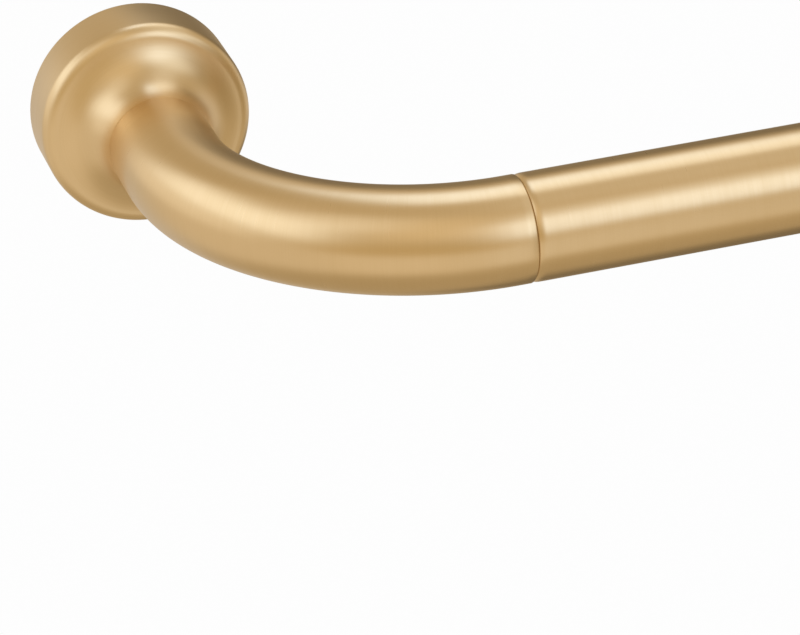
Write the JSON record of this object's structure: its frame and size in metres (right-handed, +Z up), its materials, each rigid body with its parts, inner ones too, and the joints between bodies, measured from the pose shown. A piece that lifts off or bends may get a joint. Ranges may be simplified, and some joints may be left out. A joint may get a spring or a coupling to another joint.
{
  "type": "curtain rod",
  "caption": "Telescoping wrap-around curtain rod with screwed-on elbows and round flanges that drop over hidden wall brackets.",
  "frame": {"origin": "on the wall, midway between the left wall bracket's two screws, which is also the axis of the left flange", "axes": "+X along the rod from the left flange to the right one, +Y into the wall, +Z up; the room is on the -Y side"},
  "size_m": [0.711, 0.1467, 0.052],
  "materials": {
    "tube_metal": "gold-plated, brushed round the tube, satin lacquer",
    "flange_metal": "gold-plated, satin, turned",
    "bracket_metal": "gold-plated, as cast, satin",
    "screw_metal": "gold-plated",
    "zinc_steel": "bright zinc plating",
    "washer_nylon": "dark moulded nylon",
    "white_nylon": "natural moulded nylon"
  },
  "bodies": {
    "left_bracket": {"left_wall_bracket": "bracket_metal", "left_bracket_screws": "screw_metal"},
    "left_return": {"left_flange_cup": "flange_metal", "left_elbow_tube": "tube_metal", "left_elbow_plug": "zinc_steel", "left_threaded_stud": "zinc_steel"},
    "left_washer": {"left_joint_washer": "washer_nylon"},
    "outer_rod": {"outer_tube": "tube_metal", "outer_end_plug": "white_nylon", "outer_thread_insert": "zinc_steel"},
    "mouth_bush": {"outer_mouth_bush": "white_nylon"},
    "inner_rod": {"inner_tube": "tube_metal", "inner_guide_plug": "white_nylon", "inner_end_collar": "tube_metal", "inner_thread_insert": "zinc_steel"},
    "right_washer": {"right_joint_washer": "washer_nylon"},
    "right_return": {"right_threaded_stud": "zinc_steel", "right_elbow_plug": "zinc_steel", "right_elbow_tube": "tube_metal", "right_flange_cup": "flange_metal"},
    "right_bracket": {"right_wall_bracket": "bracket_metal", "right_bracket_screws": "screw_metal"}
  },
  "joints": [
    {"name": "lift_off", "type": "slide", "parent": "left_bracket", "child": "left_return", "axis": [0, 0, 1], "range_m": [0, 0.045]},
    {"name": "left_thread_travel", "type": "slide", "parent": "left_return", "child": "left_washer", "axis": [1, 0, 0], "range_m": [0, 0.015]},
    {"name": "left_thread_turn", "type": "hinge", "parent": "left_washer", "child": "outer_rod", "pos_m": [0.0662, -0.106, 0], "axis": [1, 0, 0], "range_deg": [0, 4320]},
    {"name": "rod_twist", "type": "hinge", "parent": "outer_rod", "child": "mouth_bush", "pos_m": [0.565, -0.106, 0], "axis": [1, 0, 0], "continuous": true},
    {"name": "telescope", "type": "slide", "parent": "mouth_bush", "child": "inner_rod", "axis": [1, 0, 0], "range_m": [0, 0.406]},
    {"name": "right_thread_travel", "type": "slide", "parent": "inner_rod", "child": "right_washer", "axis": [1, 0, 0], "range_m": [0, 0.015]},
    {"name": "right_thread_turn", "type": "hinge", "parent": "right_washer", "child": "right_return", "pos_m": [0.5928, -0.106, 0], "axis": [1, 0, 0], "range_deg": [0, 4320]},
    {"name": "right_lift_off", "type": "slide", "parent": "right_return", "child": "right_bracket", "axis": [0, 0, -1], "range_m": [0, 0.045]}
  ],
  "couplings": [
    {"joint": "left_thread_travel", "follows": "left_thread_turn", "m_per_rad": 0.00019894},
    {"joint": "right_thread_travel", "follows": "right_thread_turn", "m_per_rad": 0.00019894},
    {"joint": "right_lift_off", "follows": "lift_off", "ratio": 1}
  ]
}
